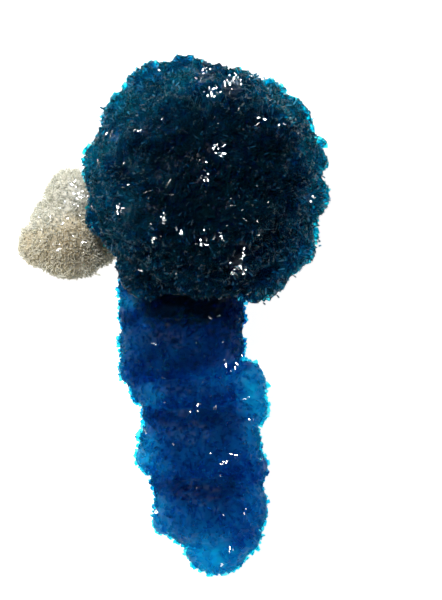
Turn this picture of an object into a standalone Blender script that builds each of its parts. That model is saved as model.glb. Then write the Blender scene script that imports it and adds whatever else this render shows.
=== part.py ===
"""A cavansite stalactite: a ball of blue crystals on a short column of the same mineral, with a cream stilbite
cluster grown against the back of the ball. It lies on its back, as it would on a shelf, so +Z is the side it is
shown by, +Y runs from the column's tip to the ball, and Z = 0 is the surface it rests on. The origin is under the
middle of the specimen's box. Lengths are in metres.
"""

import math
import random

import bmesh
import bpy
from mathutils import Vector
from mathutils.bvhtree import BVHTree

MM = 0.001

# Driving dimensions.
BLADE_WIDTH = 1.95 * MM  # one coarse cavansite crystal
BLADE_RISE = 0.95 * MM  # how far the tallest stands off the lump that it grows on
BLADE_TAPER = 0.16  # how far its end draws in from its foot
BLADE_BLUNT = 0.3  # the share with a flat end; the others end in a chisel edge
SHEAF_WIDTH = 1.3 * MM  # one coarse stilbite crystal
SHEAF_RISE = 0.7 * MM
SHEAF_TAPER = 0.16
SHEAF_BLUNT = 0.0
SEAT_GAP = 0.3 * MM  # between the stilbite and the ball that it grew against
WORN = 0.45 * MM  # how much of each lump is flattened where the specimen lies

BLUE = (0.004, 0.09, 0.27, 1.0)
CREAM = (0.72, 0.66, 0.52, 1.0)

# A lump is one rosette of crystals: (name, x, y, lowest z, x radius, y radius, z radius), in millimetres, without
# its crystals. X and Y are measured from the middle of the ball; a lump with lowest z 0 is one that it rests on.
BALL_LUMPS = (
    ("heart", 0.0, 0.0, 0.0, 11.4, 11.4, 11.4),
    ("crown", -1.8, 9.2, 8.0, 3.3, 3.2, 3.4),
    ("crown_left", -4.6, 8.0, 7.4, 3.7, 3.7, 3.9),
    ("crown_right", 3.0, 7.5, 6.4, 3.6, 3.5, 4.0),
    ("bump", 6.2, 8.6, 8.6, 1.6, 1.5, 2.0),
    ("shoulder_left", -6.8, 6.0, 7.8, 3.4, 3.3, 4.0),
    ("shoulder_right", 7.2, 5.4, 7.4, 3.4, 3.4, 4.0),
    ("cheek_left", -9.0, 1.6, 8.4, 3.1, 3.0, 3.6),
    ("cheek_right", 8.7, 2.2, 8.0, 3.3, 3.2, 3.6),
    ("side_left", -8.4, -3.2, 7.2, 3.2, 3.2, 3.8),
    ("side_right", 9.1, -1.3, 8.6, 3.0, 3.0, 3.4),
    ("hip_left", -5.6, -8.4, 7.2, 3.1, 3.1, 3.8),
    ("hip_right", 7.1, -5.4, 6.4, 4.1, 4.1, 4.4),
    ("hem_right", 5.2, -8.7, 7.0, 3.2, 3.2, 4.0),
    ("brow", -3.2, 4.2, 14.8, 4.2, 3.8, 3.8),
    ("temple", 5.0, 4.4, 13.8, 3.8, 3.6, 3.8),
    ("muzzle", 2.6, -3.2, 15.4, 4.2, 4.0, 3.8),
    ("jaw", -4.4, -3.6, 14.2, 4.0, 3.8, 3.8),
)
COLUMN_LUMPS = (
    ("neck", -2.3, -11.0, 0.4, 6.5, 4.6, 5.0),
    ("neck_left", -7.5, -13.3, 2.4, 1.4, 1.6, 2.6),
    ("neck_right", 1.6, -13.6, 0.9, 2.4, 2.4, 3.8),
    ("block", -2.4, -16.2, 0.0, 6.4, 4.4, 5.3),
    ("block_heel", -6.4, -18.7, 1.2, 2.4, 2.5, 3.5),
    ("rear_lobe", 3.9, -20.4, 0.8, 2.4, 2.5, 3.1),
    ("rear_hem", 3.8, -22.9, 1.0, 2.6, 2.2, 3.0),
    ("waist_collar", -4.5, -23.3, 1.4, 2.0, 1.8, 3.0),
    ("waist", -0.5, -26.2, 0.0, 6.2, 4.6, 4.9),
    ("waist_heel", -5.5, -27.8, 1.6, 1.6, 1.9, 2.6),
    ("waist_right", 4.4, -29.0, 1.2, 2.0, 2.2, 2.9),
    ("foot", 0.6, -32.8, 0.0, 5.8, 4.5, 4.7),
    ("foot_spur", -4.0, -34.0, 1.8, 1.5, 1.9, 2.2),
    ("foot_right", 3.6, -35.6, 1.0, 2.2, 2.2, 2.9),
    ("tip", 1.2, -37.3, 0.5, 3.2, 2.5, 3.0),
)
STILBITE_LUMPS = (
    ("upper", -13.5, -1.4, 0.8, 2.6, 2.7, 3.3),
    ("middle", -14.2, -4.9, 0.0, 3.7, 3.7, 4.1),
    ("bulge_left", -16.9, -6.2, 0.6, 2.0, 2.0, 2.6),
    ("hem", -13.8, -6.8, 0.0, 3.4, 2.6, 3.5),
    ("lobe_right", -10.7, -6.6, 0.3, 1.5, 1.5, 2.4),
    ("root", -9.2, -4.2, 0.3, 2.9, 2.7, 2.9),
)


def clear_scene():
    for found in list(bpy.data.objects):
        bpy.data.objects.remove(found)


def new_collection(name):
    made = bpy.data.collections.new(name)
    bpy.context.scene.collection.children.link(made)
    return made


def mineral(name, colour, roughness):
    """A plain Principled material."""
    made = bpy.data.materials.new(name)
    made.use_nodes = True
    shader = made.node_tree.nodes["Principled BSDF"]
    shader.inputs["Base Color"].default_value = colour
    shader.inputs["Roughness"].default_value = roughness
    shader.inputs["Metallic"].default_value = 0.0
    return made


def lumps_mesh(name, lumps, spread):
    """The rosettes as overlapping ellipsoids in one mesh, each larger by the spread."""
    bm = bmesh.new()
    for _, x, y, low, rx, ry, rz in lumps:
        ball = bmesh.ops.create_icosphere(bm, subdivisions=4, radius=1.0)["verts"]
        radii = Vector((rx, ry, rz)) * MM + Vector((spread, spread, spread))
        bmesh.ops.scale(bm, vec=radii, verts=ball)
        bmesh.ops.translate(bm, vec=Vector((x, y, low + rz)) * MM - Vector((0, 0, WORN)), verts=ball)
    mesh = bpy.data.meshes.new(name)
    bm.to_mesh(mesh)
    bm.free()
    return mesh


def remeshed(obj, voxel):
    """Replaces the object's mesh by one closed skin of quads, each about a voxel wide."""
    skin = obj.modifiers.new("one_skin", "REMESH")
    skin.mode = "VOXEL"
    skin.voxel_size = voxel
    graph = bpy.context.evaluated_depsgraph_get()
    made = bpy.data.meshes.new_from_object(obj.evaluated_get(graph))
    obj.modifiers.remove(skin)
    obj.data = made


def crease_share(face):
    """1 on an open face, falling to 0.1 where the skin folds inwards and crystals would meet."""
    sharpest = min(edge.calc_face_angle_signed(0.0) for edge in face.edges)
    return max(0.1, min(1.0, 1.0 + sharpest / math.radians(35)))


def loosen(bm, width, draw):
    """Shifts the skin's points along it, so that no two crystals are alike."""
    bm.normal_update()
    for vert in bm.verts:
        drift = Vector([draw.uniform(-1, 1) for _ in range(3)])
        vert.co += (drift - vert.normal * drift.dot(vert.normal)) * width * 0.22
    bm.normal_update()


def part_crystals(bm, crystals):
    """Halves the height of every crystal that runs into one it doesn't share an edge with, until none does."""
    owner = {}
    for index, (face, _) in enumerate(crystals):
        owner[face.index] = index
        for edge in face.edges:
            for side in edge.link_faces:
                owner[side.index] = index
    for _ in range(12):
        tree = BVHTree.FromBMesh(bm)
        meeting = set()
        for one, other in tree.overlap(tree):
            if one < other and not set(bm.faces[one].verts) & set(bm.faces[other].verts):
                meeting |= {owner[one], owner[other]}
        if not meeting:
            break
        for index in sorted(meeting):
            face, foot = crystals[index]
            for vert, place in zip(face.verts, foot):
                vert.co = place + (vert.co - place) * 0.5


def grow_crystals(obj, width, rise, taper, blunt, seed):
    """Raises each quad of the skin as one crystal, with a tilted flat end or, its sides brought together, an edge."""
    draw = random.Random(seed)
    bm = bmesh.new()
    bm.from_mesh(obj.data)
    loosen(bm, width, draw)
    ends = list(bm.faces)
    heights = [rise * draw.uniform(0.3, 1.0) * crease_share(face) for face in ends]
    bmesh.ops.inset_individual(bm, faces=ends, thickness=0.01 * MM, use_even_offset=False)
    bm.faces.index_update()
    bm.faces.ensure_lookup_table()
    crystals = []
    for face, height in zip(ends, heights):
        up = face.normal.copy()
        middle = face.calc_center_median()
        along = (face.verts[1].co - face.verts[0].co).normalized()
        slope = draw.uniform(-0.55, 0.55)
        crystals.append((face, [vert.co.copy() for vert in face.verts]))
        for vert in face.verts:
            lean = slope * (vert.co - middle).dot(along) / width
            vert.co += (middle - vert.co) * taper + up * height * (1.0 + lean)
    part_crystals(bm, crystals)
    short_sides = []
    for face, _ in crystals:
        if draw.random() >= blunt and len(face.edges) == 4:
            turn = draw.randrange(2)
            short_sides += [face.edges[turn], face.edges[turn + 2]]
    bmesh.ops.collapse(bm, edges=short_sides)
    bm.to_mesh(obj.data)
    bm.free()
    obj.data.shade_flat()


def cut_away(obj, cutter, name):
    boolean = obj.modifiers.new(name, "BOOLEAN")
    boolean.operation = "DIFFERENCE"
    boolean.solver = "EXACT"
    boolean.object = cutter


def as_cutter(obj, group):
    group.objects.link(obj)
    obj.hide_render = True
    obj.display_type = "WIRE"
    return obj


def floor_cutter(group):
    """A slab under the resting surface: what would reach below it is flat instead."""
    bm = bmesh.new()
    bmesh.ops.create_cube(bm, size=1.0)
    bmesh.ops.scale(bm, vec=(90 * MM, 120 * MM, 12 * MM), verts=bm.verts)
    bmesh.ops.translate(bm, vec=(0, -10 * MM, -6 * MM), verts=bm.verts)
    mesh = bpy.data.meshes.new("under_surface")
    bm.to_mesh(mesh)
    bm.free()
    return as_cutter(bpy.data.objects.new("under_surface", mesh), group)


def seat_cutter(group):
    """The ball as far as its crystals and the gap reach, which shapes the stilbite's seat."""
    mesh = lumps_mesh("ball_seat", BALL_LUMPS + COLUMN_LUMPS[:1], BLADE_RISE + SEAT_GAP)
    seat = as_cutter(bpy.data.objects.new("ball_seat", mesh), group)
    remeshed(seat, 2.4 * MM)
    return seat


def grown(name, lumps, finish, width, rise, taper, blunt, seed, group):
    obj = bpy.data.objects.new(name, lumps_mesh(name, lumps, 0.0))
    group.objects.link(obj)
    remeshed(obj, width)
    grow_crystals(obj, width, rise, taper, blunt, seed)
    obj.data.materials.append(finish)
    return obj


def put_over_origin(solids):
    """Moves everything so that the middle of the solids' box is over the origin."""
    graph = bpy.context.evaluated_depsgraph_get()
    corners = [Vector(corner) for solid in solids for corner in solid.evaluated_get(graph).bound_box]
    middle = Vector((0, 0, 0))
    for axis in (0, 1):
        middle[axis] = (min(c[axis] for c in corners) + max(c[axis] for c in corners)) / 2
    for obj in bpy.data.objects:
        obj.location = -middle


def main():
    clear_scene()
    parts = new_collection("cavansite_stalactite")
    cutters = new_collection("cutters")
    blue = mineral("cavansite_blue", BLUE, 0.25)
    cream = mineral("stilbite_cream", CREAM, 0.5)
    under = floor_cutter(cutters)
    seat = seat_cutter(cutters)
    lumps = BALL_LUMPS + COLUMN_LUMPS
    cavansite = grown("cavansite", lumps, blue, BLADE_WIDTH, BLADE_RISE, BLADE_TAPER, BLADE_BLUNT, 7, parts)
    cut_away(cavansite, under, "worn_flat")
    stilbite = grown("stilbite", STILBITE_LUMPS, cream, SHEAF_WIDTH, SHEAF_RISE, SHEAF_TAPER, SHEAF_BLUNT, 11, parts)
    cut_away(stilbite, seat, "seat")
    cut_away(stilbite, under, "worn_flat")
    put_over_origin([cavansite, stilbite])


main()
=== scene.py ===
import bpy
import numpy as np
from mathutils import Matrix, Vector


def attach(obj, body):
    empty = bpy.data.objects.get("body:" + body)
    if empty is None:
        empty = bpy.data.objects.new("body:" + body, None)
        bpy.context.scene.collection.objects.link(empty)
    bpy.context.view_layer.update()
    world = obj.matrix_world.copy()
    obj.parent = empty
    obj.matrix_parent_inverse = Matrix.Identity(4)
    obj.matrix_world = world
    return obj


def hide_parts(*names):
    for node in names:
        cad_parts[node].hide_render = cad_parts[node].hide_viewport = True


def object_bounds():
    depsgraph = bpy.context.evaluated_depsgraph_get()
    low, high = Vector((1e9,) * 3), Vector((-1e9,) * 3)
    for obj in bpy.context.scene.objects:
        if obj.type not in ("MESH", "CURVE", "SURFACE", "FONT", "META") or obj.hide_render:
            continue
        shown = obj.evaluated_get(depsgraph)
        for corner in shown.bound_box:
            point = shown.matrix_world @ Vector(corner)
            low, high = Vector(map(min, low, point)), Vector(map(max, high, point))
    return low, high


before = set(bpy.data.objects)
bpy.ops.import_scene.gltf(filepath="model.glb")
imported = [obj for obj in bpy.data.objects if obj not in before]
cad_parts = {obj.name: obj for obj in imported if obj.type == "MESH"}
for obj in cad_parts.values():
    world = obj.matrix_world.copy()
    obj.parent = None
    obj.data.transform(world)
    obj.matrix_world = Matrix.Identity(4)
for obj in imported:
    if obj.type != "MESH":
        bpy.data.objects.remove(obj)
cadLow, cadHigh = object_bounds()
mm = 0.001  # shapes are worked out in millimetres and go into the meshes in metres
fullTurn = 6.28

# where the ball's middle is over the floor, and how far all lumps sink into it; they are measured from there
specimen = {"ballX": 3.279, "ballY": 13.589, "worn": 0.45}

studio = {
    "cameraX": 4.879,
    "cameraY": 1.789,
    "frameLong": 60.0,  # millimetres of the scene along the picture's longer side
    "frameAt": 11.0,  # at this height
    "lens": 233.0,
    "sensorWide": 36.0,
    "floorReach": 0.9,
    "floorGlow": 0.95,
    "world": 0.11,
    "softPlace": (-0.42, 0.30, 0.42),
    "softSize": 0.50,
    "softPower": 3.3,
    "glintPlace": (-0.09, 0.18, 0.45),  # nothing of the soft lamp stands before it
    "glintSize": 0.04,
    "glintPower": 1.4,
    "target": (0, 0, 0.01),  # what both lamps look at
}

# what every blade has in common, as shares of its own width, thickness and slant unless a note says otherwise
bladeForm = {
    "footWide": 0.7,
    "tipWide": (0.55, 1.0),
    "footThick": 0.8,
    "tipThick": 0.3,
    "shoulderSlant": 0.3,
    "sideScatter": 0.45,  # how far the blades of a spray turn from its own side
    "flashGap": 0.2,  # millimetres kept clear round a cluster of plates
    "flashSteep": 0.2,  # but not on walls steeper than this upward share of their normal
    "paleFrom": 0.40,  # thinned out from this paleness
    "paleOver": 0.4,  # to this much more
    "drawnBack": (1.0, 2.6),  # times the overshoot
    "boxGap": 0.02,
}

# the plates that lie over and flash, in millimetres
plateForm = {
    "fewest": 3,
    "turn": 0.026,  # radians off the exact mirror's direction
    "strayTurn": 0.032,
    "axisScatter": 0.5,
    "wide": (0.05, 0.11),
    "long": (0.10, 0.40),
    "thick": (0.04, 0.07),
    "straySize": (0.40, 0.90),
    "stand": (0.20, 0.50),  # over the lump
    "strayStand": 0.20,
    "boxGap": 0.02,
    "seedStep": 40,  # its draws are apart from the blades'
}

# how points and sprays spread over a lump
spreading = {
    "areaPower": 1.6075,  # an ellipsoid's area is 4 pi times a mean of its radii's products at this power
    "fewest": 12,
    "jitter": 0.9,
    "floorGap": 0.1,
    "inside": 0.96,  # a point within this share of another lump is dropped
    "otherGap": 0.3,
    "domeEdge": 0.7,  # of the sprays' spacing, where a dome is level with the lump
    "seedStep": 90,
}

# the share of the fine drift in the tone, and the reach of the painted rim glow
glowAndToneForm = {
    "fineShare": 0.5,
    "rimDepth": 0.72,  # how deep inside the outline the painted rim glow still shows
    "rimFade": 2.4,  # millimetres over which a stretch of painted rim glow comes in
}

# the mass: knobbly by a product of sines of the place, with these wave vectors
massForm = {
    "waves": [(3.1, 1.9, -2.3), (-2.2, 3.4, 1.7), (1.6, -2.4, 3.3)],
    "thirdScale": 1.7,
    "thirdShare": 0.6,
    "domeShare": 0.8,
    "leastShare": 0.4,  # of a lump's radius, however large the inset
    "floorGap": 0.05,
    "easeFactor": 0.5,
    "easeTimes": 6,
}

# a lump is one rosette: x, y, lowest z, x radius, y radius, z radius
ball = {
    "lumps": [
        (0.0, 0.0, 0.0, 11.4, 11.4, 11.4),
        (-1.8, 9.2, 8.0, 3.3, 3.2, 3.4),
        (-4.6, 8.0, 7.4, 3.7, 3.7, 3.9),
        (3.0, 7.5, 6.4, 3.6, 3.5, 4.0),
        (6.2, 8.6, 8.6, 1.6, 1.5, 2.0),
        (-6.8, 6.0, 7.8, 3.4, 3.3, 4.0),
        (7.2, 5.4, 7.4, 3.4, 3.4, 4.0),
        (-9.0, 1.6, 8.4, 3.1, 3.0, 3.6),
        (8.7, 2.2, 8.0, 3.3, 3.2, 3.6),
        (-8.4, -3.2, 7.2, 3.2, 3.2, 3.8),
        (9.1, -1.3, 8.6, 3.0, 3.0, 3.4),
        (-5.6, -8.4, 7.2, 3.1, 3.1, 3.8),
        (7.1, -5.4, 6.4, 4.1, 4.1, 4.4),
        (5.2, -8.7, 7.0, 3.2, 3.2, 4.0),
        (-3.2, 4.2, 14.8, 4.2, 3.8, 3.8),
        (5.0, 4.4, 13.8, 3.8, 3.6, 3.8),
        (2.6, -3.2, 15.4, 4.2, 4.0, 3.8),
        (-4.4, -3.6, 14.2, 4.0, 3.8, 3.8),
    ],
    "perArea": 6.4,  # blades for each square millimetre
    "wide": (0.34, 0.86),
    "thick": (0.12, 0.26),
    "long": (0.9, 1.4),
    "rise": (-0.18, 0.07),  # how far tips stand off the lump
    "sprayEvery": 1.35,  # the blades fan out in sprays about this far apart
    "lift": 0.17,  # and whole sprays stand higher or lower by about this
    "fan": 0.60,  # how far blades lean out from their spray's middle
    "dome": 0.30,  # how high a spray's middle stands over its edge
    "tilt": 0.20,  # lean at random
    "chisel": (0.06, 0.20),  # how far the shoulder lies behind the tip
    "slant": 0.30,
    "seed": 5,
    # clusters of plates that lie over and catch the light: x, y, reach
    "flashesPerArea": 9.0,
    "flashes": [
        (-4.6, 10.9, 0.35), (0.0, 10.9, 0.3), (-0.4, 9.8, 0.45), (0.5, 10.3, 0.4), (0.9, 8.4, 0.6),
        (2.7, 9.3, 1.0), (1.4, 2.7, 0.8), (-0.1, 0.2, 0.6), (-7.9, -2.8, 0.6), (-4.1, -3.8, 0.5),
        (-4.7, -5.7, 0.5), (-2.5, -5.0, 0.4), (-0.3, -6.1, 0.6), (1.4, -5.6, 0.5), (3.6, -6.8, 0.4),
        (3.2, -8.3, 0.9), (7.3, 5.2, 0.25), (-6.2, 4.6, 0.3), (5.8, 5.9, 0.25), (10.3, -1.7, 0.4),
        (-9.0, 4.4, 0.4),
    ],
    # single plates: x, y, reach, count
    "strays": [(0.5, 0.5, 9.5, 18), (1.5, 9.3, 2.2, 10), (-0.5, -5.0, 5.0, 8)],
    "baseAndPaintedLightAlongY": [(-12, 0.26), (12, 0.28)],  # how pale it is at these places along y; on the column and the cluster this is painted light
    "drift": 0.19,
    "bladeShare": 0.88,  # the blades are a little deeper than the mass under them
    "thinning": 0.22,  # and this share of them is missing where it is palest
    "rim": 0.08,  # painted rim glow: how much paler it is at the outline, where light shines through
    # painted rim glow in stretches of the outline: bearing and spread in degrees, how far out it starts,
    # strength
    "paintedRimGlow": [
        (5, 50, 8.8, 0.60), (52, 24, 8.6, 0.35), (132, 34, 7.6, 0.38), (182, 18, 8.8, 0.25),
        (-52, 22, 9.2, 0.30),
    ],
    # painted glow at the rim and painted shade over the middle and the lower part: x, y, x reach, y reach,
    # strength
    "paintedGlowAndShadeAt": [
        (-2.1, 10.6, 1.5, 1.7, 0.60), (-11.1, 3.0, 1.5, 1.7, 0.60), (6.8, 9.8, 1.2, 1.2, 0.6),
        (8.5, 8.0, 1.8, 1.5, 0.50), (11.4, 3.1, 1.5, 1.2, 0.6), (11.8, -1.2, 1.0, 1.5, 0.6),
        (-8.8, -1.6, 2.6, 1.4, 0.30), (0.3, -11.4, 1.3, 1.3, 0.30), (-7.5, 8.0, 2.4, 2.0, 0.25),
        (11.0, -6.5, 1.8, 2.6, 0.25), (0.9, 0.2, 7.8, 7.6, -0.36), (2.5, -8.6, 4.4, 2.6, -0.18),
    ],
    "inset": 0.34,  # the mass stays this far under the lumps
    "voxel": 0.28,
    "knobs": 0.06,  # how high its ripples are
}

# sparse slivers between the ball's blades: real small crystals whose lighter blue-grey diffuse colour is
# painted sheen for faint facet reflections; where they differ from the blades
sliversAndSheen = {
    "perArea": 2.0,
    "wide": (0.08, 0.17),
    "thick": (0.05, 0.10),
    "long": (0.3, 0.7),
    "rise": (0.10, 0.24),
    "fan": 2.0,
    "seed": 15,
    "clumps": (-0.3, 1.0),
}

column = {
    "lumps": [
        (-2.3, -11.0, 0.4, 6.5, 4.6, 5.0),
        (-7.5, -13.3, 2.4, 1.4, 1.6, 2.6),
        (1.6, -13.6, 0.9, 2.4, 2.4, 3.8),
        (-2.4, -16.2, 0.0, 6.4, 4.4, 5.3),
        (-6.4, -18.7, 1.2, 2.4, 2.5, 3.5),
        (-1.7, -21.2, 0.7, 5.8, 2.3, 4.2),
        (3.9, -20.4, 0.8, 2.4, 2.5, 3.1),
        (3.8, -22.9, 1.0, 2.6, 2.2, 3.0),
        (-4.5, -23.3, 1.4, 2.0, 1.8, 3.0),
        (-0.5, -26.2, 0.0, 6.2, 4.6, 4.9),
        (-5.5, -27.8, 1.6, 1.6, 1.9, 2.6),
        (4.4, -29.0, 1.2, 2.0, 2.2, 2.9),
        (-0.3, -30.4, 0.7, 5.3, 2.2, 3.4),
        (0.6, -32.8, 0.0, 5.8, 4.5, 4.7),
        (-4.0, -34.0, 1.8, 1.5, 1.9, 2.2),
        (3.6, -35.6, 1.0, 2.2, 2.2, 2.9),
        (1.2, -37.3, 0.5, 3.2, 2.5, 3.0),
    ],
    "perArea": 3.6,
    "wide": (0.30, 0.74),
    "thick": (0.12, 0.24),
    "long": (0.7, 1.1),
    "rise": (-0.20, 0.10),
    "sprayEvery": 1.25,
    "lift": 0.11,
    "fan": 0.60,
    "dome": 0.24,
    "tilt": 0.22,
    "chisel": (0.08, 0.22),
    "slant": 0.30,
    "seed": 8,
    "flashesPerArea": 8.0,
    "flashes": [
        (-5.0, -16.3, 0.2), (2.1, -17.9, 0.4), (2.9, -18.2, 0.3), (-0.7, -22.1, 0.2), (1.0, -22.4, 0.2),
        (4.1, -21.6, 0.3), (4.4, -24.1, 0.25), (1.9, -28.2, 0.4), (2.7, -27.4, 0.3), (-5.6, -25.2, 0.25),
        (-4.6, -33.2, 0.2), (2.4, -37.1, 0.25), (1.6, -38.4, 0.2), (1.5, -13.2, 0.3), (0.4, -13.8, 0.2),
    ],
    "strays": [(1.5, -17.5, 3.0, 9), (0.5, -25.5, 4.0, 6), (0.5, -34.5, 4.0, 6)],
    # painted light: paler toward the thin tip, deeper under the ball where its shadow falls
    "baseAndPaintedLightAlongY": [(-40, 0.62), (-34, 0.40), (-24, 0.28), (-17, 0.22), (-12.5, 0.13)],
    "drift": 0.10,
    "bladeShare": 0.82,
    "thinning": 0.26,
    # painted rim glow at the outline
    "rim": 0.38,
    # painted glow at the thin lobes, edges and tip first, then painted shade in the creases between the
    # rosettes and under the ball
    "paintedGlowAndShadeAt": [
        (-7.8, -12.1, 1.3, 1.0, 0.6), (-8.6, -17.0, 1.2, 2.2, 0.20), (-5.3, -21.8, 1.8, 1.1, 0.50),
        (5.6, -21.6, 2.1, 3.5, 0.80), (1.6, -19.7, 2.4, 1.5, 0.24), (-6.2, -27.7, 1.7, 2.0, 0.60),
        (-4.6, -34.2, 1.8, 1.6, 0.40), (0.0, -36.8, 1.8, 1.4, 0.55), (1.3, -39.0, 2.2, 1.3, 0.5),
        (4.8, -27.5, 1.4, 2.4, 0.22), (5.2, -33.0, 1.2, 2.4, 0.22),
        # painted shade in the creases between the rosettes and under the ball
        (3.8, -14.2, 2.2, 2.8, -0.22), (-1.0, -12.8, 5.4, 2.2, -0.34), (-1.6, -17.4, 3.4, 1.8, -0.12),
        (-0.6, -23.7, 4.8, 1.3, -0.40), (-0.4, -26.4, 3.2, 1.6, -0.10), (0.2, -31.0, 4.8, 1.2, -0.46),
        (0.6, -33.2, 3.0, 1.6, -0.08),
    ],
    "inset": 0.20,
    "voxel": 0.26,
    "knobs": 0.05,
}

stilbite = {
    "lumps": [
        (-13.5, -1.4, 0.8, 2.6, 2.7, 3.3),
        (-14.2, -4.9, 0.0, 3.7, 3.7, 4.1),
        (-16.9, -6.2, 0.6, 2.0, 2.0, 2.6),
        (-13.8, -6.8, 0.0, 3.4, 2.6, 3.5),
        (-10.7, -6.6, 0.3, 1.5, 1.5, 2.4),
        (-9.2, -4.2, 0.3, 2.9, 2.7, 2.9),
    ],
    "perArea": 22.0,
    "wide": (0.08, 0.22),
    "thick": (0.05, 0.13),
    "long": (0.5, 0.9),
    "rise": (-0.14, 0.38),
    "sprayEvery": 1.1,
    "lift": 0.10,
    "fan": 0.50,
    "dome": 0.12,
    "tilt": 0.40,
    "chisel": (0.06, 0.20),
    "slant": 0.25,
    "seed": 3,
    "flashesPerArea": 8.0,
    "flashes": [
        (-13.5, -0.3, 0.15), (-13.0, -1.0, 0.45), (-12.5, -1.4, 0.2), (-14.0, -1.9, 0.12),
        (-14.4, -4.2, 0.12), (-14.7, -6.5, 0.12), (-12.6, -5.9, 0.12),
    ],
    "strays": [(-13.6, -3.6, 3.6, 40), (-13.0, -1.2, 1.2, 16)],
    # painted light: paler toward the lit top of the cluster
    "baseAndPaintedLightAlongY": [(-10, 0.40), (-5, 0.32), (-2, 0.75), (0, 0.95)],
    "drift": 0.06,
    "bladeShare": 1.0,
    "thinning": 0.0,
    # painted rim glow at the outline
    "rim": 0.35,
    # painted light: paler on the lit left and top and beside the ball, and painted shade in the middle
    "paintedGlowAndShadeAt": [
        (-16.2, -3.4, 2.2, 3.0, 0.30), (-12.6, -1.2, 2.2, 1.5, 0.30), (-9.8, -5.0, 2.0, 2.4, 0.60),
        (-13.2, -5.6, 2.4, 2.2, -0.22),
    ],
    "inset": 0.08,
    "voxel": 0.24,
    "knobs": 0.06,
}

# fine needles that stand out of the cluster; where they differ from its crystals
stilbiteNeedles = {
    "perArea": 5.0,
    "wide": (0.05, 0.10),
    "thick": (0.04, 0.07),
    "long": (0.6, 1.1),
    "rise": (0.10, 0.42),
    "seed": 21,
}


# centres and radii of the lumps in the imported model's frame, in millimetres
def placed(lumps):
    table = np.array(lumps, float)
    centres = table[:, :3].copy()
    centres[:, 0] += specimen["ballX"]
    centres[:, 1] += specimen["ballY"]
    centres[:, 2] += table[:, 5] - specimen["worn"]
    return centres, table[:, 3:]


# golden-angle spiral: the k-th of n directions is at height 1 - 2(k + 0.5)/n, turned by k golden angles
def spiralDirections(n, rng):
    k = np.arange(n)
    height = 1 - 2 * (k + 0.5) / n
    turn = k * np.pi * (3 - 5 ** 0.5) + rng.uniform(0, fullTurn)
    across = np.sqrt(1 - height ** 2)
    around = np.stack([across * np.cos(turn), across * np.sin(turn), height], 1)
    axes = np.linalg.qr(rng.normal(size=(3, 3)))[0]
    around = around @ axes + rng.normal(size=(n, 3)) * spreading["jitter"] / np.sqrt(n)
    return around / np.linalg.norm(around, axis=1, keepdims=True)


def unit(v):
    return v / np.maximum(np.linalg.norm(v, axis=-1, keepdims=True), 1e-9)


# points spread over every lump at centre + direction * radii, less those that lie inside another lump
def spreadOver(centres, radii, perArea, rng, others=None):
    places, normals = [], []
    for i, (centre, radius) in enumerate(zip(centres, radii)):
        a, b, c = radius ** spreading["areaPower"]
        area = 4 * np.pi * ((a * b + a * c + b * c) / 3) ** (1 / spreading["areaPower"])
        directions = spiralDirections(max(spreading["fewest"], int(area * perArea)), rng)
        point = centre + directions * radius
        keep = point[:, 2] > spreading["floorGap"]
        for j, (otherCentre, otherRadius) in enumerate(zip(centres, radii)):
            if j != i:
                keep &= (((point - otherCentre) / (otherRadius * spreading["inside"])) ** 2).sum(1) > 1
        if others is not None:
            for otherCentre, otherRadius in zip(*others):
                keep &= (((point - otherCentre) / (otherRadius + spreading["otherGap"])) ** 2).sum(1) > 1
        places.append(point[keep])
        normals.append(unit(directions / radius)[keep])
    return np.concatenate(places), np.concatenate(normals)


# the number of the nearest seed to each point, worked out for a batch at a time to spare memory
def nearestOf(points, seeds):
    batch = 2000
    best = np.zeros(len(points), int)
    for start in range(0, len(points), batch):
        part = points[start:start + batch]
        best[start:start + batch] = ((part[:, None] - seeds[None]) ** 2).sum(2).argmin(1)
    return best


# how pale the mineral is, its own tone and painted light together: a value along y, a slow drift that is a
# product of two sines and is its own tone, a painted rim glow toward the outline of the lumps seen from
# above, and a bell of each listed strength round its place or bearing, painted glow where positive and
# painted shade where negative
def toneAndPaintedLight(points, kind):
    x, y = points[:, 0] - specimen["ballX"], points[:, 1] - specimen["ballY"]
    z = points[:, 2]
    stops = np.array(kind["baseAndPaintedLightAlongY"])
    # along y: painted light on the column and the cluster, paler toward the column's tip and the cluster's
    # lit top, deeper under the ball
    value = np.interp(y, stops[:, 0], stops[:, 1])
    drift = np.sin(0.95 * x + 1.4 * np.sin(0.6 * y) + 0.5 * z)
    drift *= np.sin(1.05 * y - 0.45 * x + 1.2 * np.sin(0.7 * z))
    fine = np.sin(2.3 * x - 1.1 * y + 0.9 * z) * np.sin(2.1 * y + 1.3 * x - 0.8 * z)
    value += kind["drift"] * (drift + glowAndToneForm["fineShare"] * fine)
    inside = np.full(len(points), -1.0)
    for lumpX, lumpY, _, radiusX, radiusY, _ in kind["lumps"]:
        inside = np.maximum(inside, 1 - ((x - lumpX) / radiusX) ** 2 - ((y - lumpY) / radiusY) ** 2)
    # painted rim glow: paler toward the outline seen from above, where light shines through thin crystal
    value += kind["rim"] * np.clip(1 - inside / glowAndToneForm["rimDepth"], 0, 1)
    # painted rim glow in listed stretches of the outline
    for bearing, spread, start, strength in kind.get("paintedRimGlow", []):
        aside = (np.degrees(np.arctan2(y, x)) - bearing + 180) % 360 - 180
        outward = np.clip((np.hypot(x, y) - start) / glowAndToneForm["rimFade"], 0, 1)
        value += strength * outward * np.exp(-(aside / spread) ** 2)
    # painted glow where a strength is positive, painted shade where it is negative
    for placeX, placeY, reachX, reachY, strength in kind["paintedGlowAndShadeAt"]:
        value += strength * np.exp(-((x - placeX) / reachX) ** 2 - ((y - placeY) / reachY) ** 2)
    return np.clip(value, 0, 1)


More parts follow.
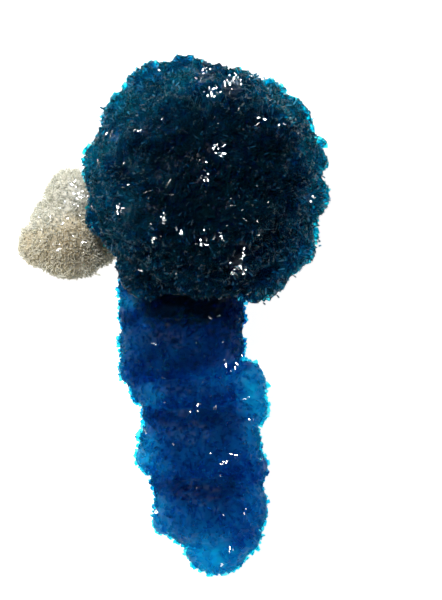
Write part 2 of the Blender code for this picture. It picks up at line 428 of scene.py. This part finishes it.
# the middles of the sprays that blades fan out from, and how much higher or lower each stands
def spraySeeds(kind, others=None):
    rng = np.random.default_rng(kind["seed"] + spreading["seedStep"])
    seeds, _ = spreadOver(*placed(kind["lumps"]), 1 / kind["sprayEvery"] ** 2, rng, others)
    lift = np.clip(rng.normal(0, kind["lift"], len(seeds)), -2 * kind["lift"], 2 * kind["lift"])
    return seeds, lift


# a spray is domed: highest over its middle and falling with the square of the distance
def domeOver(points, seeds, kind):
    own = nearestOf(points, seeds)
    away = (points - seeds[own]) / kind["sprayEvery"]
    distance = np.linalg.norm(away, axis=1)
    dome = kind["dome"] * np.clip(1 - (distance / spreading["domeEdge"]) ** 2, -1, 1)
    return own, away / np.maximum(distance, 1)[:, None], dome


# the camera's height: it frames frameLong where that is frameLong * lens / sensorWide away from it
def cameraHeight():
    return studio["frameAt"] + studio["lens"] * studio["frameLong"] / studio["sensorWide"]


# plates that lie over at the listed places: each is a thin box on the topmost lump there, and its broad face
# looks halfway between the lamp and the viewer, give or take a degree or two
def layFlashes(name, kind):
    rng = np.random.default_rng(kind["seed"] + plateForm["seedStep"])
    spots = np.array(kind["flashes"] + [stray[:3] for stray in kind["strays"]])
    amount = (spots[:, 2] ** 2 * kind["flashesPerArea"] * np.pi).astype(int)
    amount = np.maximum(plateForm["fewest"], amount)
    amount[len(kind["flashes"]):] = [stray[3] for stray in kind["strays"]]
    spot = np.repeat(spots, amount, axis=0)
    stray = np.repeat(np.arange(len(spots)) >= len(kind["flashes"]), amount)
    shared = np.repeat(rng.normal(size=(len(spots), 3)), amount, axis=0)
    n = len(spot)
    turn, out = rng.uniform(0, fullTurn, n), spot[:, 2] * np.sqrt(rng.uniform(0, 1, n))
    x = spot[:, 0] + specimen["ballX"] + out * np.cos(turn)
    y = spot[:, 1] + specimen["ballY"] + out * np.sin(turn)
    centres, radii = placed(kind["lumps"])
    aside = ((x[:, None] - centres[:, 0]) / radii[:, 0]) ** 2
    aside = aside + ((y[:, None] - centres[:, 1]) / radii[:, 1]) ** 2
    heights = np.where(aside < 1, centres[:, 2] + radii[:, 2] * np.sqrt(np.maximum(1 - aside, 0)), -1)
    place = np.stack([x, y, heights.max(1)], 1)
    top = heights.argmax(1)
    normal = unit((place - centres[top]) / radii[top] ** 2)
    keep = place[:, 2] > 0
    place, normal, stray, n = place[keep], normal[keep], stray[keep], int(keep.sum())
    eye = np.array([studio["cameraX"], studio["cameraY"], cameraHeight()])
    lamp = np.array(studio["glintPlace"]) / mm
    half = unit(unit(eye - place) + unit(lamp - place))
    turned = np.where(stray, plateForm["strayTurn"], plateForm["turn"])
    flat = unit(half + turned[:, None] * rng.normal(size=(n, 3)))
    # the plates of one cluster lie nearly parallel
    axis = unit(np.cross(flat, unit(shared[keep]) + plateForm["axisScatter"] * rng.normal(size=(n, 3))))
    size = np.stack([rng.uniform(*plateForm[way], n) for way in ("wide", "long", "thick")], 1) / 2
    size *= np.where(stray, rng.uniform(*plateForm["straySize"], n), 1.0)[:, None]
    stand = rng.uniform(*plateForm["stand"], n) + np.where(stray, plateForm["strayStand"], 0.0)
    middle = place + normal * stand[:, None]
    ring = ((-1, -1), (1, -1), (1, 1), (-1, 1))
    corner = np.array([(across, along, up) for up in (-1, 1) for across, along in ring], float)
    frames = np.stack([np.cross(axis, flat), axis, flat], 1)
    points = middle[:, None] + (corner[None] * size[:, None]) @ frames
    high = np.array(cadHigh) / mm
    over = np.maximum(points.max(1) - high + plateForm["boxGap"], 0)
    points = points - over[:, None]
    box = np.array([(3, 2, 1, 0), (4, 5, 6, 7), (0, 1, 5, 4), (1, 2, 6, 5), (2, 3, 7, 6), (3, 0, 4, 7)])
    quads = (box[None] + 8 * np.arange(n)[:, None, None]).reshape(-1, 4)
    fields = {"tone": np.repeat(rng.uniform(0, 1, n), 8), "paleAndPaintedLight": np.repeat(toneAndPaintedLight(place, kind), 8)}
    print(name, n, "plates")
    return putMesh(name, points.reshape(-1, 3), quads, fields)


# a blade is a rectangle carried along a straight axis through three stations: a narrow foot, the full
# shoulder, and a thin chisel edge that slants to one side
def growBlades(name, kind, others=None, level=None):
    rng = np.random.default_rng(kind["seed"])
    centres, radii = placed(kind["lumps"])
    place, normal = spreadOver(centres, radii, kind["perArea"], rng, others)
    seeds, lift = spraySeeds(kind, others)
    if level is not None:
        low, high = level
        keep = (place[:, 2] >= low) & (place[:, 2] < high)
        place, normal = place[keep], normal[keep]
    # the plates that catch the light stand free of the blades
    keep = np.ones(len(place), bool)
    for spotX, spotY, spotReach in kind["flashes"]:
        aside = np.hypot(place[:, 0] - spotX - specimen["ballX"], place[:, 1] - spotY - specimen["ballY"])
        keep &= (aside > spotReach + bladeForm["flashGap"]) | (normal[:, 2] < bladeForm["flashSteep"])
    # and where it is palest, mostly by painted glow, they stand farther apart, so that the mass glows between
    # them
    thin = np.clip((toneAndPaintedLight(place, kind) - bladeForm["paleFrom"]) / bladeForm["paleOver"], 0, 1)
    keep &= rng.uniform(0, 1, len(place)) > kind["thinning"] * thin
    if "clumps" in kind:
        x, y, z = place.T
        clump = np.sin(1.5 * x + 1.2 * np.sin(1.1 * y)) * np.sin(1.3 * y + 1.1 * np.sin(0.9 * x) + 0.6 * z)
        keep &= clump > rng.uniform(*kind["clumps"], len(place))
    place, normal = place[keep], normal[keep]
    n = len(place)
    own, away, dome = domeOver(place, seeds, kind)
    rise = rng.uniform(*kind["rise"], n) + dome + lift[own]
    axis = unit(normal + kind["fan"] * away + kind["tilt"] * rng.normal(size=(n, 3)))
    shared = rng.normal(size=(len(seeds), 3))[own]  # the blades of a spray lie nearly parallel
    side = unit(np.cross(axis, unit(shared) + bladeForm["sideScatter"] * rng.normal(size=(n, 3))))
    flat = np.cross(axis, side)
    wide = rng.uniform(*kind["wide"], n)
    thick = rng.uniform(*kind["thick"], n)
    length = rng.uniform(*kind["long"], n)
    tip = place + normal * rise[:, None]
    chisel = rng.uniform(*kind["chisel"], n)
    slant = rng.uniform(-1, 1, n) * kind["slant"] * wide
    tipWide = wide * rng.uniform(*bladeForm["tipWide"], n)
    back = np.stack([length, chisel, np.zeros(n)], 1)  # how far each station lies behind the tip
    wideAt = np.stack([wide * bladeForm["footWide"], wide, tipWide], 1) / 2
    thickAt = np.stack([thick * bladeForm["footThick"], thick, thick * bladeForm["tipThick"]], 1) / 2
    slantAt = np.stack([slant * 0, slant * bladeForm["shoulderSlant"], slant], 1) / 2
    corner = np.array([(1, 1), (-1, 1), (-1, -1), (1, -1)], float)
    points = tip[:, None, None] - axis[:, None, None] * back[:, :, None, None]
    points = points + side[:, None, None] * (wideAt[:, :, None] * corner[:, 0])[..., None]
    points = points + flat[:, None, None] * (thickAt[:, :, None] * corner[:, 1])[..., None]
    points = points + axis[:, None, None] * (slantAt[:, :, None] * corner[:, 0])[..., None]
    # a blade that would stand out of the solid's box is drawn back, each by its own amount
    low, high = np.array(cadLow) / mm + bladeForm["boxGap"], np.array(cadHigh) / mm - bladeForm["boxGap"]
    corners = points.reshape(n, -1, 3)
    over = np.maximum(corners.max(1) - high, 0) - np.maximum(low - corners.min(1), 0)
    over[:, 2] = np.maximum(over[:, 2], 0)
    points = points - (over * rng.uniform(*bladeForm["drawnBack"], (n, 1)))[:, None, None]
    points[..., 2] = np.maximum(points[..., 2], 0)
    i = np.arange(4)
    j = (i + 1) % 4
    walls = [np.stack([i + r, j + r, j + r + 4, i + r + 4], 1) for r in (0, 4)]
    oneBlade = np.concatenate([[[3, 2, 1, 0]]] + walls + [[[8, 9, 10, 11]]])
    quads = (oneBlade[None] + 12 * np.arange(n)[:, None, None]).reshape(-1, 4)
    fields = {
        "tone": np.repeat(0.5 * rng.uniform(0, 1, n) + 0.5 * rng.uniform(0, 1, len(seeds))[own], 12),
        "reach": np.tile(np.repeat([0.0, 0.7, 1.0], 4), n),
        "paleAndPaintedLight": np.repeat(kind["bladeShare"] * toneAndPaintedLight(place, kind), 12),
    }
    piece = putMesh(name, points.reshape(-1, 3), quads, fields)
    print(name, n, "crystals")
    return piece


# every lump as a grid of longitude u and latitude v on an ellipsoid, each smaller than the lump by the inset
def ellipsoids(lumps, inset, columns=64, rows=32):
    centres, radii = placed(lumps)
    u = np.arange(columns) * 2 * np.pi / columns
    v = (np.arange(1, rows) / rows - 0.5) * np.pi
    uu, vv = np.meshgrid(u, v)
    around = np.stack([np.cos(vv) * np.cos(uu), np.cos(vv) * np.sin(uu), np.sin(vv)], 2).reshape(-1, 3)
    around = np.concatenate([[[0, 0, -1.0]], around, [[0, 0, 1.0]]])
    ring = np.arange(columns)
    after = (ring + 1) % columns
    last = 1 + (rows - 2) * columns
    quads = [np.stack([1 + r * columns + ring, 1 + r * columns + after, 1 + (r + 1) * columns + after,
                       1 + (r + 1) * columns + ring], 1) for r in range(rows - 2)]
    bottom = np.stack([np.zeros(columns, int), 1 + after, 1 + ring], 1)
    top = np.stack([np.full(columns, last + columns), last + ring, last + after], 1)
    points = centres[:, None] + around * np.maximum(radii - inset, radii * massForm["leastShare"])[:, None]
    points[..., 2] = np.maximum(points[..., 2], massForm["floorGap"])
    step = (np.arange(len(centres)) * len(around))[:, None, None]
    fours, threes = np.concatenate(quads) + step, np.concatenate([bottom, top]) + step
    return points.reshape(-1, 3), fours.reshape(-1, 4), {}, threes.reshape(-1, 3)


# the clear mass under the blades: the lumps joined by a voxel remesh, then moved along the normals by the
# domes of the sprays and by a product of sines of the place, so that the surface is knobbly
def growMass(name, kind):
    piece = putMesh(name, *ellipsoids(kind["lumps"], kind["inset"]))
    join = piece.modifiers.new("join", "REMESH")
    join.mode = "VOXEL"
    join.voxel_size = kind["voxel"] * mm
    ease = piece.modifiers.new("ease", "SMOOTH")
    ease.factor = massForm["easeFactor"]
    ease.iterations = massForm["easeTimes"]
    joined = bpy.data.meshes.new_from_object(piece.evaluated_get(bpy.context.evaluated_depsgraph_get()))
    piece.modifiers.clear()
    piece.data = joined
    n = len(joined.vertices)
    flatPoints, flatNormals = np.zeros(n * 3, np.float32), np.zeros(n * 3, np.float32)
    joined.vertices.foreach_get("co", flatPoints)
    joined.vertices.foreach_get("normal", flatNormals)
    points, normals = flatPoints.reshape(-1, 3) / mm, flatNormals.reshape(-1, 3)
    waves = np.array(massForm["waves"])
    ripple = np.sin(points @ waves[0]) * np.sin(points @ waves[1])
    ripple += massForm["thirdShare"] * np.sin(points @ (waves[2] * massForm["thirdScale"]))
    dome = domeOver(points, spraySeeds(kind)[0], kind)[2]
    points = points + normals * (kind["knobs"] * ripple + massForm["domeShare"] * dome)[:, None]
    points[:, 2] = np.maximum(points[:, 2], massForm["floorGap"])
    joined.vertices.foreach_set("co", (points * mm).astype(np.float32).ravel())
    # the paleness, painted glow and shade with the tone, read by the material
    addField(joined, "paleAndPaintedLight", toneAndPaintedLight(points, kind))
    joined.polygons.foreach_set("use_smooth", np.ones(len(joined.polygons), bool))
    joined.update()
    print(name, n, "points")
    return piece


def addField(mesh, name, values):
    field = mesh.attributes.new(name, "FLOAT", "POINT")
    field.data.foreach_set("value", values.astype(np.float32))


# the arrays put into a mesh whose faces are flat, in metres
def putMesh(name, points, quads, fields, triangles=None):
    mesh = bpy.data.meshes.new(name)
    triangles = np.zeros((0, 3), int) if triangles is None else triangles
    corners = np.concatenate([quads.ravel(), triangles.ravel()]).astype(np.int32)
    sizes = np.concatenate([np.full(len(quads), 4), np.full(len(triangles), 3)])
    mesh.vertices.add(len(points))
    mesh.vertices.foreach_set("co", (points * mm).astype(np.float32).ravel())
    mesh.loops.add(len(corners))
    mesh.loops.foreach_set("vertex_index", corners)
    mesh.polygons.add(len(sizes))
    mesh.polygons.foreach_set("loop_start", np.concatenate([[0], np.cumsum(sizes)[:-1]]).astype(np.int32))
    mesh.polygons.foreach_set("use_smooth", np.zeros(len(sizes), bool))
    mesh.update(calc_edges=True)
    for field, values in fields.items():
        addField(mesh, field, values)
    mesh.validate()
    piece = bpy.data.objects.new(name, mesh)
    bpy.context.scene.collection.objects.link(piece)
    return piece


def newMaterial(name):
    material = bpy.data.materials.new(name)
    material.use_nodes = True
    tree = material.node_tree
    return material, tree.nodes, tree.links, tree.nodes["Principled BSDF"]


def noiseOf(nodes, links, scale, detail=4.0):
    place = nodes.new("ShaderNodeTexCoord")
    noise = nodes.new("ShaderNodeTexNoise")
    noise.inputs["Scale"].default_value = scale
    noise.inputs["Detail"].default_value = detail
    links.new(place.outputs["Object"], noise.inputs["Vector"])
    return noise.outputs["Fac"]


def fieldOf(nodes, name):
    field = nodes.new("ShaderNodeAttribute")
    field.attribute_name = name
    return field.outputs["Fac"]


def mathOf(nodes, links, kind, first, second):
    step = nodes.new("ShaderNodeMath")
    step.operation = kind
    for socket, value in zip(step.inputs, (first, second)):
        if isinstance(value, (int, float)):
            socket.default_value = value
        else:
            links.new(value, socket)
    return step.outputs["Value"]


def rampOf(nodes, links, factor, stops):
    ramp = nodes.new("ShaderNodeValToRGB")
    ramp.color_ramp.elements[0].position = stops[0][0]
    ramp.color_ramp.elements[0].color = (*stops[0][1], 1)
    ramp.color_ramp.elements[1].position = stops[-1][0]
    ramp.color_ramp.elements[1].color = (*stops[-1][1], 1)
    for position, colour in stops[1:-1]:
        ramp.color_ramp.elements.new(position).color = (*colour, 1)
    links.new(factor, ramp.inputs["Fac"])
    return ramp.outputs["Color"]


def mixOf(nodes, links, factor, first, second, blend="MIX"):
    mix = nodes.new("ShaderNodeMix")
    mix.data_type = "RGBA"
    mix.blend_type = blend
    for slot, value in (("Factor", factor), ("A", first), ("B", second)):
        socket = mix.inputs[slot]
        if isinstance(value, (int, float, tuple)):
            socket.default_value = value
        else:
            links.new(value, socket)
    return mix.outputs["Result"]


def bumpOf(nodes, links, height, strength, distance):
    bump = nodes.new("ShaderNodeBump")
    bump.inputs["Strength"].default_value = strength
    bump.inputs["Distance"].default_value = distance
    links.new(height, bump.inputs["Height"])
    return bump.outputs["Normal"]


# what all the finishes share; scales are to the metre and depths in metres
finish = {
    "cloudScale": 0.35,  # of the grain's
    "cloudShift": 0.5,
    "grainDetail": 3,
    "grainBump": 0.6,
    "grainDepth": 0.0002,
    "deepest": 0.98,  # the absorbing colour's strongest channel takes this share
    "toneShare": 0.4,
    "tipShare": 0.8,
    # painted shade at the blades' roots
    "rootTint": (0.82, 0.90, 0.94),
    "rippleScale": 9000,
    "rippleDetail": 2,
    "rippleDepth": 0.00003,
    "darkBodyScale": 700,
    "darkBodyRoughness": 0.6,
}

# colours run from the deepest to the palest place; absorb is the red, green and blue lost in each millimetre
minerals = {
    "ballMass": {
        "colours": [(0.0, (0.0, 0.06, 0.22)), (0.35, (0.006, 0.40, 0.68)), (1.0, (0.03, 0.82, 0.96))],
        "absorb": (0.70, 0.075, 0.05),
        "transmission": 0.96,
        "roughness": 0.25,
        "ior": 1.12,
        "mirror": 0.1,
        "grain": 1500,
    },
    "columnMass": {
        "colours": [(0.0, (0.0, 0.05, 0.15)), (0.4, (0.008, 0.25, 0.51)), (1.0, (0.02, 0.78, 0.98))],
        "absorb": (0.75, 0.20, 0.11),
        "transmission": 0.91,
        "roughness": 0.40,
        "ior": 1.12,
        "mirror": 0.05,
        "grain": 900,
    },
    "stilbiteMass": {
        "colours": [(0.0, (0.58, 0.47, 0.32)), (0.5, (0.90, 0.81, 0.62)), (1.0, (1.0, 0.97, 0.87))],
        "absorb": (0.018, 0.030, 0.060),
        "transmission": 0.36,
        "roughness": 0.40,
        "ior": 1.16,
        "mirror": 0.4,
        "grain": 3200,
    },
}

blades = {
    "ballBlades": {
        "colours": [(0.1, (0.010, 0.34, 0.60)), (0.55, (0.03, 0.62, 0.80)), (1.0, (0.08, 0.83, 0.92))],
        "transmission": 0.985,
        "roughness": 0.10,
        "ior": 1.19,
        "mirror": 0.06,
        "ripple": 0.15,
    },
    # painted sheen: the slivers' lighter blue-grey diffuse colour
    "ballSliversAndSheen": {
        "colours": [(0.1, (0.005, 0.04, 0.08)), (0.6, (0.015, 0.12, 0.22)), (1.0, (0.06, 0.38, 0.56))],
        "transmission": 0.30,
        "roughness": 0.22,
        "ior": 1.30,
        "mirror": 0.3,
        "ripple": 0.1,
    },
    "columnBlades": {
        "colours": [(0.1, (0.02, 0.46, 0.80)), (0.55, (0.05, 0.68, 0.93)), (1.0, (0.08, 0.88, 0.98))],
        "transmission": 0.98,
        "roughness": 0.14,
        "ior": 1.08,
        "mirror": 0.02,
        "ripple": 0.15,
    },
    "stilbiteBlades": {
        "colours": [(0.1, (0.82, 0.72, 0.53)), (0.55, (0.96, 0.89, 0.73)), (1.0, (1.0, 0.97, 0.87))],
        "transmission": 0.55,
        "roughness": 0.20,
        "ior": 1.12,
        "mirror": 0.5,
        "ripple": 0.15,
    },
    "blueFlashes": {
        "colours": [(0.1, (0.25, 0.80, 0.95)), (1.0, (0.60, 0.97, 1.0))],
        "transmission": 1.0,
        "roughness": 0.10,
        "ior": 1.54,
        "mirror": 0.5,
        "ripple": 0.0,
    },
    "creamFlashes": {
        "colours": [(0.1, (0.95, 0.93, 0.88)), (1.0, (1.0, 1.0, 0.98))],
        "transmission": 0.8,
        "roughness": 0.10,
        "ior": 1.50,
        "mirror": 0.5,
        "ripple": 0.0,
    },
}


def setShine(shader, look):
    shader.inputs["Transmission Weight"].default_value = look["transmission"]
    shader.inputs["Roughness"].default_value = look["roughness"]
    shader.inputs["IOR"].default_value = look["ior"]
    shader.inputs["Specular IOR Level"].default_value = look["mirror"]


# clear stone: its colour follows the paleness, which holds painted glow and painted shade with the tone, give
# or take half of cloudShift, and light fades with depth
def massMaterial(name):
    look = minerals[name]
    material, nodes, links, shader = newMaterial(name)
    cloud = noiseOf(nodes, links, look["grain"] * finish["cloudScale"])
    shift = mathOf(nodes, links, "MULTIPLY_ADD", cloud, finish["cloudShift"])
    shift.node.inputs[2].default_value = -finish["cloudShift"] / 2
    factor = mathOf(nodes, links, "ADD", fieldOf(nodes, "paleAndPaintedLight"), shift)
    links.new(rampOf(nodes, links, factor, look["colours"]), shader.inputs["Base Color"])
    setShine(shader, look)
    grain = noiseOf(nodes, links, look["grain"], finish["grainDetail"])
    bump = bumpOf(nodes, links, grain, finish["grainBump"], finish["grainDepth"])
    links.new(bump, shader.inputs["Normal"])
    depth = nodes.new("ShaderNodeVolumeAbsorption")
    strongest = max(look["absorb"]) / finish["deepest"]
    depth.inputs["Color"].default_value = (*[1 - lost / strongest for lost in look["absorb"]], 1)
    depth.inputs["Density"].default_value = strongest / mm
    links.new(depth.outputs["Volume"], nodes["Material Output"].inputs["Volume"])
    return material


# a blade is tinted by the paleness of its place, which holds painted glow and shade, and its own tone, and
# painted a little deeper at its root as shade among the blades
def bladeMaterial(name):
    look = blades[name]
    material, nodes, links, shader = newMaterial(name)
    tone = mathOf(nodes, links, "MULTIPLY", fieldOf(nodes, "tone"), finish["toneShare"])
    mixed = mathOf(nodes, links, "ADD", fieldOf(nodes, "paleAndPaintedLight"), tone)
    body = rampOf(nodes, links, mixed, look["colours"])
    tips = rampOf(nodes, links, fieldOf(nodes, "reach"), [(0.0, finish["rootTint"]), (1.0, (1, 1, 1))])
    tinted = mixOf(nodes, links, finish["tipShare"], body, tips, "MULTIPLY")
    links.new(tinted, shader.inputs["Base Color"])
    setShine(shader, look)
    if look["ripple"] > 0:
        ripple = noiseOf(nodes, links, finish["rippleScale"], finish["rippleDetail"])
        bump = bumpOf(nodes, links, ripple, look["ripple"], finish["rippleDepth"])
        links.new(bump, shader.inputs["Normal"])
    return material


# a dark mottled body; the column's one is painted shade
def darkBodyMaterial(name, dark, light):
    material, nodes, links, shader = newMaterial(name)
    mottled = rampOf(nodes, links, noiseOf(nodes, links, finish["darkBodyScale"]), [(0.35, dark), (0.7, light)])
    links.new(mottled, shader.inputs["Base Color"])
    shader.inputs["Roughness"].default_value = finish["darkBodyRoughness"]
    return material


def dress(piece, material):
    piece.data.materials.clear()
    piece.data.materials.append(material)
    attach(piece, "root")
    return piece


# the dark places inside: the ball's dark middle, and a dark body in the column's root under the ball that is
# painted shade, where the ball's shadow falls
darkCoreAndShade = {
    "ball": {
        "lumps": [
            (0.0, 0.0, 3.6, 8.2, 8.2, 8.0), (-1.0, -8.0, 4.2, 3.6, 3.2, 4.6), (2.0, 7.0, 8.0, 3.0, 3.0, 3.6),
        ],
        "dark": (0.0, 0.006, 0.022),
        "light": (0.0, 0.02, 0.065),
    },
    "column": {
        # painted shade: a dark body where the ball's shadow falls on the column
        "lumps": [(-2.1, -11.4, 1.4, 4.9, 3.4, 2.6)],
        "dark": (0.0, 0.03, 0.11),
        "light": (0.003, 0.08, 0.25),
    },
}

print("growing the blue blades")
ballLumps = placed(ball["lumps"])
middle = ballLumps[0][0, 2]
blueGlass = bladeMaterial("ballBlades")
ballTop = dress(growBlades("ball_blades", ball, level=(middle, np.inf)), blueGlass)
dress(growBlades("ball_blades_below", ball, level=(0, middle)), blueGlass)
# the slivers, with a painted sheen
dress(growBlades("ball_slivers_and_sheen", {**ball, **sliversAndSheen}), bladeMaterial("ballSliversAndSheen"))
dress(growBlades("column_blades", column, ballLumps), bladeMaterial("columnBlades"))
blueFlashes = bladeMaterial("blueFlashes")
dress(layFlashes("ball_flashes", ball), blueFlashes)
dress(layFlashes("column_flashes", column), blueFlashes)
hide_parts("cavansite")

print("filling the mass under them")
dress(growMass("ball_mass", ball), massMaterial("ballMass"))
dress(growMass("column_mass", column), massMaterial("columnMass"))
# the ball's dark middle and the column's painted shade
for name, darkPart in darkCoreAndShade.items():
    darkPiece = putMesh(name + "_dark_body", *ellipsoids(darkPart["lumps"], 0))
    dress(darkPiece, darkBodyMaterial(name + "DarkBody", darkPart["dark"], darkPart["light"]))

print("growing the cream cluster")
creamGlass = bladeMaterial("stilbiteBlades")
creamCrystals = dress(growBlades("stilbite_crystals", stilbite, ballLumps), creamGlass)
dress(growBlades("stilbite_needles", {**stilbite, **stilbiteNeedles}, ballLumps), creamGlass)
dress(growMass("stilbite_mass", stilbite), massMaterial("stilbiteMass"))
dress(layFlashes("stilbite_flashes", stilbite), bladeMaterial("creamFlashes"))
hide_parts("stilbite")


def buildStudio():
    floorMesh = bpy.data.meshes.new("floor")
    reach = studio["floorReach"]
    corners = [(-reach, -reach, 0), (reach, -reach, 0), (reach, reach, 0), (-reach, reach, 0)]
    floorMesh.from_pydata(corners, [], [(0, 1, 2, 3)])
    floor = bpy.data.objects.new("floor", floorMesh)
    bpy.context.scene.collection.objects.link(floor)
    material, nodes, links, shader = newMaterial("paleFloor")
    shader.inputs["Base Color"].default_value = (0.86, 0.86, 0.86, 1)
    shader.inputs["Roughness"].default_value = 0.9
    shader.inputs["Emission Color"].default_value = (1, 1, 1, 1)
    shader.inputs["Emission Strength"].default_value = studio["floorGlow"]
    floorMesh.materials.append(material)
    cameraData = bpy.data.cameras.new("camera")
    cameraData.lens = studio["lens"]
    cameraData.sensor_width = studio["sensorWide"]
    cameraData.clip_start = 0.01
    cameraData.clip_end = 10
    camera = bpy.data.objects.new("camera", cameraData)
    camera.location = (studio["cameraX"] * mm, studio["cameraY"] * mm, cameraHeight() * mm)
    bpy.context.scene.collection.objects.link(camera)
    bpy.context.scene.camera = camera
    world = bpy.data.worlds.new("softRoom")
    world.use_nodes = True
    world.node_tree.nodes["Background"].inputs["Color"].default_value = (1, 1, 1, 1)
    world.node_tree.nodes["Background"].inputs["Strength"].default_value = studio["world"]
    bpy.context.scene.world = world


def addLight(name):
    data = bpy.data.lights.new(name, "AREA")
    data.shape = "DISK"
    data.size = studio[name + "Size"]
    data.energy = studio[name + "Power"]
    lamp = bpy.data.objects.new(name, data)
    lamp.location = studio[name + "Place"]
    toTarget = Vector(studio["target"]) - Vector(studio[name + "Place"])
    lamp.rotation_euler = toTarget.to_track_quat("-Z", "Y").to_euler()
    bpy.context.scene.collection.objects.link(lamp)


print("setting the studio")
buildStudio()
addLight("soft")
addLight("glint")
view = bpy.context.scene.view_settings
view.view_transform = "Standard"
cycles = bpy.context.scene.cycles
cycles.max_bounces = 40
cycles.transmission_bounces = 40
cycles.glossy_bounces = 6
cycles.diffuse_bounces = 4
cycles.caustics_reflective = False
cycles.caustics_refractive = True
cycles.sample_clamp_indirect = 4.0
